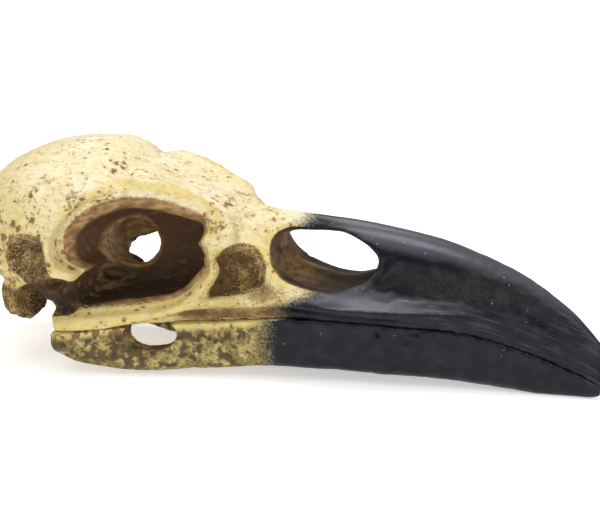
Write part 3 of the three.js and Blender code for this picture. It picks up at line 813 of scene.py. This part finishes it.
def castPaint():
    paint = Paint("painted_cast")
    black, hollow, brown, deepWashShade, grit, scuff, yellowAndShade, mottle, weather, sheenOnTop, scored, level = (
        paint.read(name) for name in ("black", "hollow", "brown", "deepWashShade", "grit", "scuff", "yellowAndShade", "mottle",
                                      "weather", "sheenOnTop", "scored", "level"))
    broad, middle, fine = paint.noise(9), paint.noise(2.6, 4), paint.noise(0.7, 4)
    brushed = paint.noise(1.0, 4, (3, 1.2, 0.9))
    scratch = paint.noise(0.6, 5, (2.4, 1, 1))

    # cream bone, yellower at its rims, yellower and darker towards the bottom and the back as painted shade,
    # with stains, tan brush marks and brown specks
    bone = paint.blend(paint.step(broad, 0.38, 0.62), tints["cream"], tints["pale"])
    # the yellow tint is both the rims' own colour and painted shade low down and at the back
    bone = paint.blend(paint.sum("MULTIPLY", yellowAndShade, paint.step(middle, 0.1, 0.55)), bone, tints["yellowAndShade"])
    stain = paint.sum("MULTIPLY", paint.step(paint.noise(4, 4), 0.56, 0.7, 0.5), paint.step(fine, 0.35, 0.6))
    bone = paint.blend(stain, bone, tints["tan"])
    marks = paint.sum("MULTIPLY", paint.step(brushed, 0.54, 0.68, 0.6), paint.step(broad, 0.38, 0.58))
    bone = paint.blend(marks, bone, tints["tan"])
    bone = paint.blend(paint.step(scratch, 0.5, 0.66, 0.42), bone, tints["tan"])
    rusty = paint.sum("MULTIPLY", weather, paint.step(paint.noise(1.6, 4), 0.5, 0.62, 0.6))
    bone = paint.blend(rusty, bone, tints["tan"])
    crowd = paint.sum("MULTIPLY", weather, 0.2)
    dots = paint.spots(1.8, fine, paint.sum("ADD", crowd, paint.noise(6, 3)))
    bone = paint.blend(paint.step(dots, -0.82, -1.14, 0.75), bone, tints["tan"])
    bone = paint.blend(paint.step(dots, -1.02, -1.2, 0.8), bone, tints["rust"])
    # finer specks of the paint's own, scattered over the bone
    dustAndSheen = paint.spots(0.8, fine, paint.sum("ADD", crowd, paint.noise(4, 3)))
    specks = paint.sum("MAXIMUM", paint.step(dots, -1.1, -1.26), paint.step(dustAndSheen, -1.0, -1.24, 0.8))
    bone = paint.blend(paint.sum("MULTIPLY", specks, 0.7), bone, tints["speck"])

    # olive and brown blotches over the jaw
    jawTone = paint.blend(paint.step(middle, 0.4, 0.62), tints["olive"], tints["jaw"])
    jawTone = paint.blend(paint.step(scratch, 0.5, 0.66, 0.5), jawTone, tints["olive"])
    blots = paint.sum("ADD", paint.sum("MULTIPLY", paint.noise(1.5, 3), 0.6),
                      paint.sum("MULTIPLY", paint.noise(3.2, 3), 0.4))
    blots = paint.sum("ADD", blots, paint.sum("MULTIPLY", weather, 0.06))
    jawTone = paint.blend(paint.step(blots, 0.49, 0.58, 0.85), jawTone, tints["umber"])
    jawTone = paint.blend(paint.step(paint.noise(0.6, 3), 0.5, 0.64, 0.6), jawTone, tints["umber"])
    bone = paint.blend(paint.sum("MULTIPLY", mottle, paint.step(paint.noise(5, 3), 0.25, 0.4)), bone, jawTone)

    # brown wash in hollows, its edge broken by noise
    speckled = paint.noise(0.35, 3)
    edge = paint.sum("ADD", paint.sum("MULTIPLY", middle, 0.3), paint.sum("MULTIPLY", speckled, 0.7))
    wet = paint.step(paint.sum("ADD", brown, edge), 0.72, 1.08)
    washTone = paint.blend(paint.step(brushed, 0.38, 0.66), tints["wash"], tints["washLight"])
    grain = paint.sum("ADD", paint.sum("MULTIPLY", speckled, 0.6), paint.sum("MULTIPLY", middle, 0.4))
    gritTone = paint.blend(paint.step(grain, 0.43, 0.6), tints["gritDark"], tints["gritLight"])
    washTone = paint.blend(grit, washTone, gritTone)
    # deeper in the hollows the wash turns dark brown, darkest towards their bottoms and inside the nose:
    # partly the wash's own darker tone, partly painted shade
    deepShadeTone = paint.blend(paint.step(level, 0.08, 0.3), tints["deepShadeBrown"], tints["chocolate"])
    washTone = paint.blend(paint.sum("MULTIPLY", deepWashShade, 0.95), washTone, deepShadeTone)
    washTone = paint.blend(paint.sum("MULTIPLY", scuff, deepWashShade), washTone, tints["deepShadeBrown"])
    bone = paint.blend(wet, bone, washTone)
    dirt = paint.step(paint.sum("ADD", hollow, paint.sum("MULTIPLY", fine, 0.2)), 0.66, 0.9)
    bone = paint.blend(paint.sum("MULTIPLY", dirt, 0.85), bone, tints["speck"])

    # the black bill, sprayed over the bone with a speckled edge
    sooty = paint.step(paint.sum("ADD", black, paint.sum("MULTIPLY", paint.noise(0.4, 3), 0.7)), 0.5, 1.2)
    sheath = paint.blend(paint.step(middle, 0.4, 0.7), tints["black"], tints["smoke"])
    worn = paint.sum("MULTIPLY", scuff, paint.step(grain, 0.36, 0.66))
    sheath = paint.blend(worn, sheath, tints["scuff"])
    # paler bluish grey on the bill's upward-facing parts: a painted sheen that lifts the highlights on the
    # culmen and the shelf
    sheath = paint.blend(paint.sum("MULTIPLY", sheenOnTop, 0.9), sheath, tints["dustAndSheen"])
    # lighter lines along the grooves of the bill: painted highlights where the grooves would catch the light
    grooves = paint.noise(0.5, 3, (14, 1, 1), paint.alongGape())
    grooveHighlight = paint.sum("MULTIPLY", scored, paint.step(grooves, 0.52, 0.66, 0.36))
    sheath = paint.blend(grooveHighlight, sheath, tints["dustAndSheen"])
    chips = paint.step(paint.spots(1.0, fine, paint.noise(5, 4)), -1.24, -1.3, 0.5)
    sheath = paint.blend(chips, sheath, tints["chip"])
    paint.feed(paint.shader.inputs["Base Color"], paint.blend(sooty, bone, sheath))
    roughBone = paint.sum("ADD", 0.5, paint.sum("MULTIPLY", wet, 0.2))
    roughBlack = paint.sum("ADD", 0.2, paint.sum("MULTIPLY", middle, 0.2))
    roughBlack = paint.sum("ADD", roughBlack, paint.sum("MULTIPLY", scuff, 0.2))
    rough = paint.nodes.new("ShaderNodeMix")
    for key, value in (("Factor", sooty), ("A", roughBone), ("B", roughBlack)):
        paint.feed(rough.inputs[key], value)
    paint.feed(paint.shader.inputs["Roughness"], rough.outputs["Result"])
    paint.shader.inputs["Specular IOR Level"].default_value = 0.22
    paint.shader.inputs["Specular Tint"].default_value = (0.9, 0.94, 1, 1)

    # tooth of the paint: fine grain and grit up, specks down, less of it on the black
    tooth = paint.sum("MULTIPLY", fine, paint.sum("ADD", 0.3, grit))
    tooth = paint.sum("SUBTRACT", tooth, paint.sum("MULTIPLY", specks, 0.5))
    tooth = paint.sum("ADD", tooth, paint.sum("MULTIPLY", brushed, 0.3))
    calm = paint.sum("MULTIPLY", sooty, paint.sum("SUBTRACT", 0.95, paint.sum("MULTIPLY", scuff, 0.35)))
    tooth = paint.sum("MULTIPLY", tooth, paint.sum("SUBTRACT", 1.0, calm))
    drawn = paint.sum("MULTIPLY", grooves, paint.sum("MULTIPLY", sooty, scored))
    tooth = paint.sum("ADD", tooth, paint.sum("MULTIPLY", drawn, 0.6))
    bump = paint.nodes.new("ShaderNodeBump")
    bump.inputs["Strength"].default_value = 1.0
    bump.inputs["Distance"].default_value = 0.0004
    paint.feed(bump.inputs["Height"], tooth)
    paint.feed(paint.shader.inputs["Normal"], bump.outputs["Normal"])
    return paint.material


finish = castPaint()
for piece, slotName in ((upperPiece, "bone_cream"), (jawPiece, "black_sheath")):
    piece.data.materials.clear()
    piece.data.materials.append(finish)
    piece.data.shade_smooth()
    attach(piece, "root")
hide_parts("upper_bill", "skull_roof", "braincase", "palate", "interorbital_septum",
            "lacrimal_left", "lacrimal_right", "jugal_left", "jugal_right", "quadrate_left", "quadrate_right")
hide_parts("lower_bill", "jaw_ramus_left", "jaw_ramus_right")
print("paint laid out")

# The camera's aim is in the skull's own millimetres, and everything else in the studio in metres.
studio = {
    "azimuth": 17.5, "elevation": 16.5, "distance": 0.4, "aim": (1.5, 0, 20), "lens": 127.2,
    "floorZ": -0.0001, "floorHalf": 3.0, "floorTone": 0.82, "floorGlow": 0.5, "roomLight": 0.25,
}

lamps = {
    "top": {"spot": (0.0, 0.02, 0.7), "aim": (0, 0, 0.02), "size": 0.34, "power": 3.0},
    "side": {"spot": (-0.6, -0.3, 0.2), "aim": (-0.03, 0, 0.02), "size": 0.35, "power": 0.5},
    "back": {"spot": (-0.2, 0.5, 0.55), "aim": (0, 0, 0.02), "size": 0.4, "power": 1.4},
    "key": {"spot": (-0.12, -0.42, 0.58), "aim": (0, 0, 0.02), "size": 0.45, "power": 1.2},
    "fill": {"spot": (0.48, -0.36, 0.3), "aim": (0, 0, 0.02), "size": 0.4, "power": 1.7},
}


def floor():
    half = studio["floorHalf"]
    mesh = bpy.data.meshes.new("floor")
    corners = [(-half, -half), (half, -half), (half, half), (-half, half)]
    mesh.from_pydata([(x, y, studio["floorZ"]) for x, y in corners], [], [(0, 1, 2, 3)])
    ground = bpy.data.objects.new("floor", mesh)
    bpy.context.collection.objects.link(ground)
    paper = bpy.data.materials.new("pale_paper")
    paper.use_nodes = True
    sheet = paper.node_tree.nodes["Principled BSDF"]
    tone = studio["floorTone"]
    sheet.inputs["Base Color"].default_value = (tone, tone, tone, 1)
    sheet.inputs["Roughness"].default_value = 0.9
    # a white light table, lit a little from below
    sheet.inputs["Emission Color"].default_value = (1, 1, 1, 1)
    sheet.inputs["Emission Strength"].default_value = studio["floorGlow"]
    mesh.materials.append(paper)


def softBox(name, spot, aim, size, power):
    light = bpy.data.lights.new(name, "AREA")
    light.shape, light.size, light.energy = "DISK", size, power
    lamp = bpy.data.objects.new(name, light)
    lamp.location = spot
    direction = np.array(aim) - np.array(spot)
    lamp.rotation_euler = (math.acos(-direction[2] / np.linalg.norm(direction)), 0,
                           math.atan2(direction[1], direction[0]) - math.pi / 2)
    bpy.context.collection.objects.link(lamp)


def camera():
    azimuth, elevation = math.radians(studio["azimuth"]), math.radians(studio["elevation"])
    back = (math.sin(azimuth) * math.cos(elevation), -math.cos(azimuth) * math.cos(elevation),
            math.sin(elevation))
    lens = bpy.data.cameras.new("camera")
    lens.lens, lens.sensor_width = studio["lens"], 36
    lens.clip_start = 0.01
    eye = bpy.data.objects.new("camera", lens)
    aim = (np.array(studio["aim"]) + castShift) * mm
    eye.location = aim + studio["distance"] * np.array(back)
    eye.rotation_euler = (math.pi / 2 - elevation, 0, azimuth)
    bpy.context.collection.objects.link(eye)
    bpy.context.scene.camera = eye


floor()
for name, lamp in lamps.items():
    softBox(name, **lamp)
camera()
world = bpy.data.worlds.new("studio")
world.use_nodes = True
world.node_tree.nodes["Background"].inputs["Color"].default_value = (1, 1, 1, 1)
world.node_tree.nodes["Background"].inputs["Strength"].default_value = studio["roomLight"]
bpy.context.scene.world = world
bpy.context.scene.view_settings.view_transform = "Standard"
print("studio lit")
